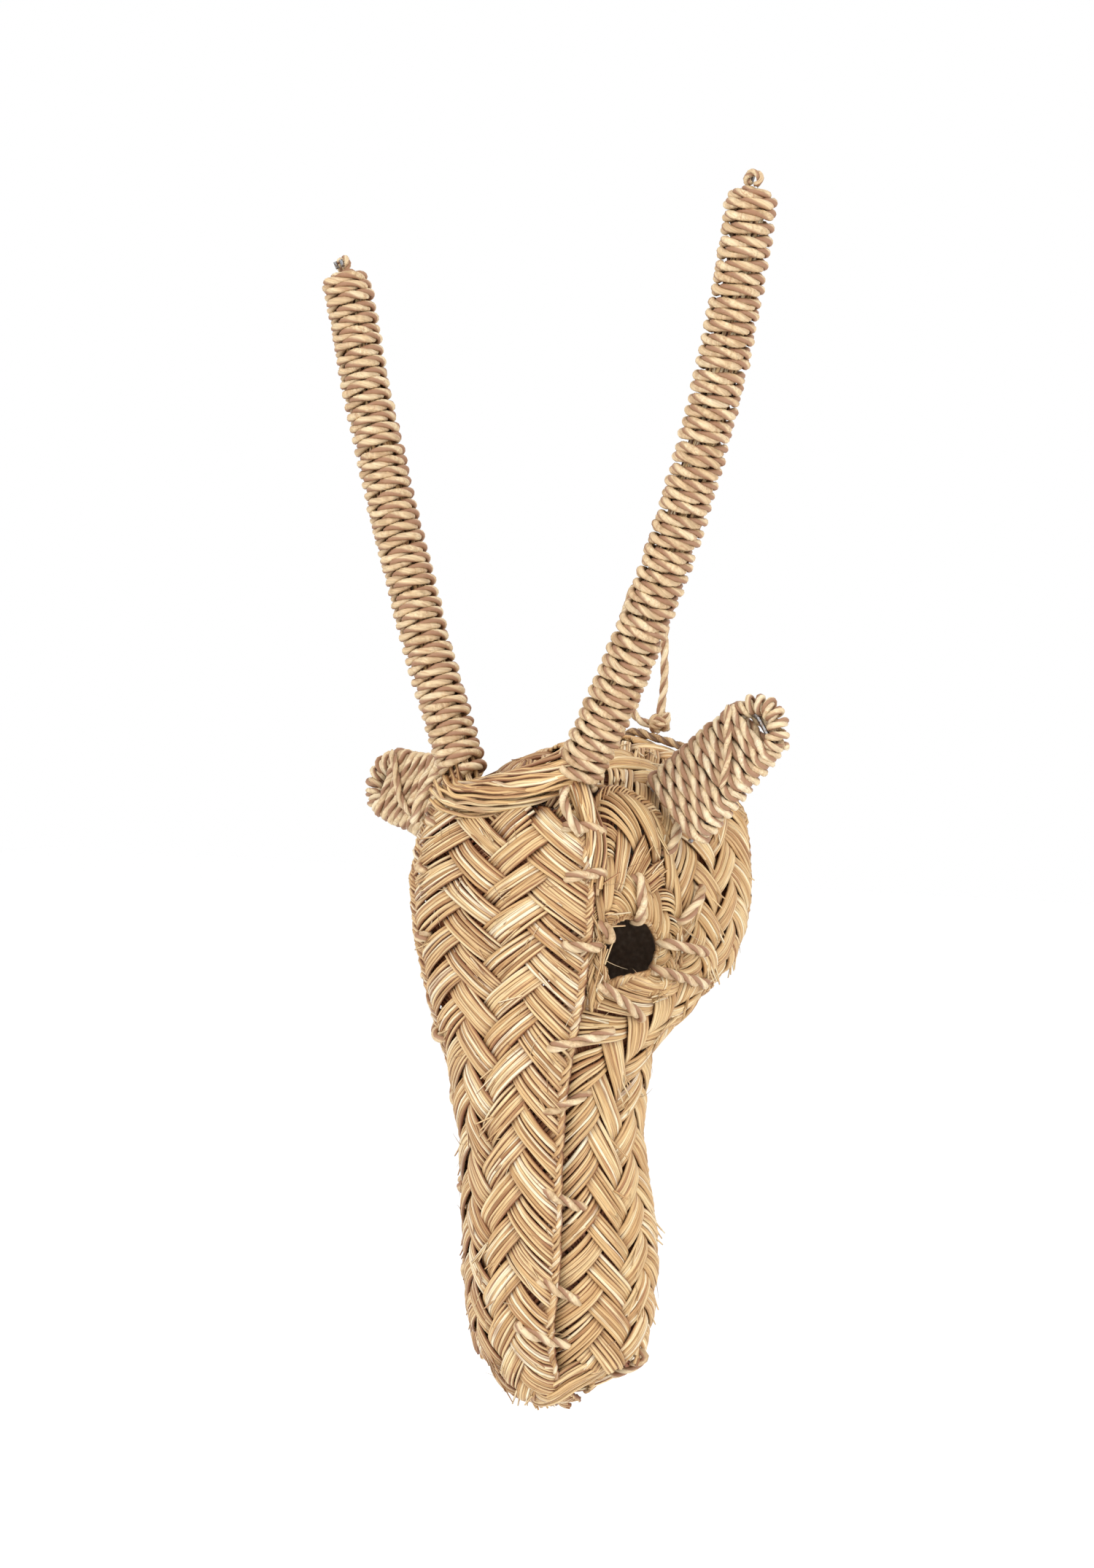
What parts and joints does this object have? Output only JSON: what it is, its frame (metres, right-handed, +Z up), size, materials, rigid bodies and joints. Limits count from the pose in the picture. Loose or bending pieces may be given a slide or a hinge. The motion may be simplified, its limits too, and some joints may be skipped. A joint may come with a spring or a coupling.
{
  "type": "woven straw goat head wall hanging",
  "caption": "Hollow horned goat head of plaited esparto grass that hangs flat on a wall by a cord loop, with horns and ears wound in twisted palm cord.",
  "frame": {"origin": "where the hanging loop bears on its nail, in the plane of the wall", "axes": "+Z up, along the horns; the face looks along -Y, away from the wall, which is the plane y = 0; +X is to the right of someone facing the head"},
  "size_m": [0.2703, 0.134, 0.5857],
  "materials": {
    "esparto_plait": "dried esparto leaves, plaited in bundles, satin",
    "esparto_bundle": "dried esparto leaves laid side by side, satin",
    "esparto_cord": "twisted esparto cord, matt",
    "palm_cord": "two-ply twisted palm leaf cord, satin",
    "felt": "thin grey-brown felt, matt",
    "steel_wire": "dull drawn wire"
  },
  "bodies": {
    "root": {"face_plait": "esparto_plait", "cheek_plait_right": "esparto_plait", "cheek_plait_left": "esparto_plait", "eye_plait_right": "esparto_plait", "eye_plait_left": "esparto_plait", "jaw_plait": "esparto_plait", "brow_roll": "esparto_bundle", "back_sheet": "felt", "horn_wire_right": "steel_wire", "horn_wire_left": "steel_wire", "horn_core_right": "esparto_bundle", "horn_core_left": "esparto_bundle", "horn_cord_right": "palm_cord", "horn_cord_left": "palm_cord", "horn_lashing_right": "palm_cord", "horn_lashing_left": "palm_cord", "ear_wire_right": "steel_wire", "ear_wire_left": "steel_wire", "ear_cord_right": "palm_cord", "ear_cord_left": "palm_cord", "ear_lashing_right": "palm_cord", "ear_lashing_left": "palm_cord", "seam_stitches_right": "palm_cord", "seam_stitches_left": "palm_cord", "eye_stitches_right": "palm_cord", "eye_stitches_left": "palm_cord", "nose_stitches": "palm_cord", "rim_cord": "esparto_cord", "hanging_loop": "palm_cord", "hanging_knot": "palm_cord"}
  },
  "joints": []
}
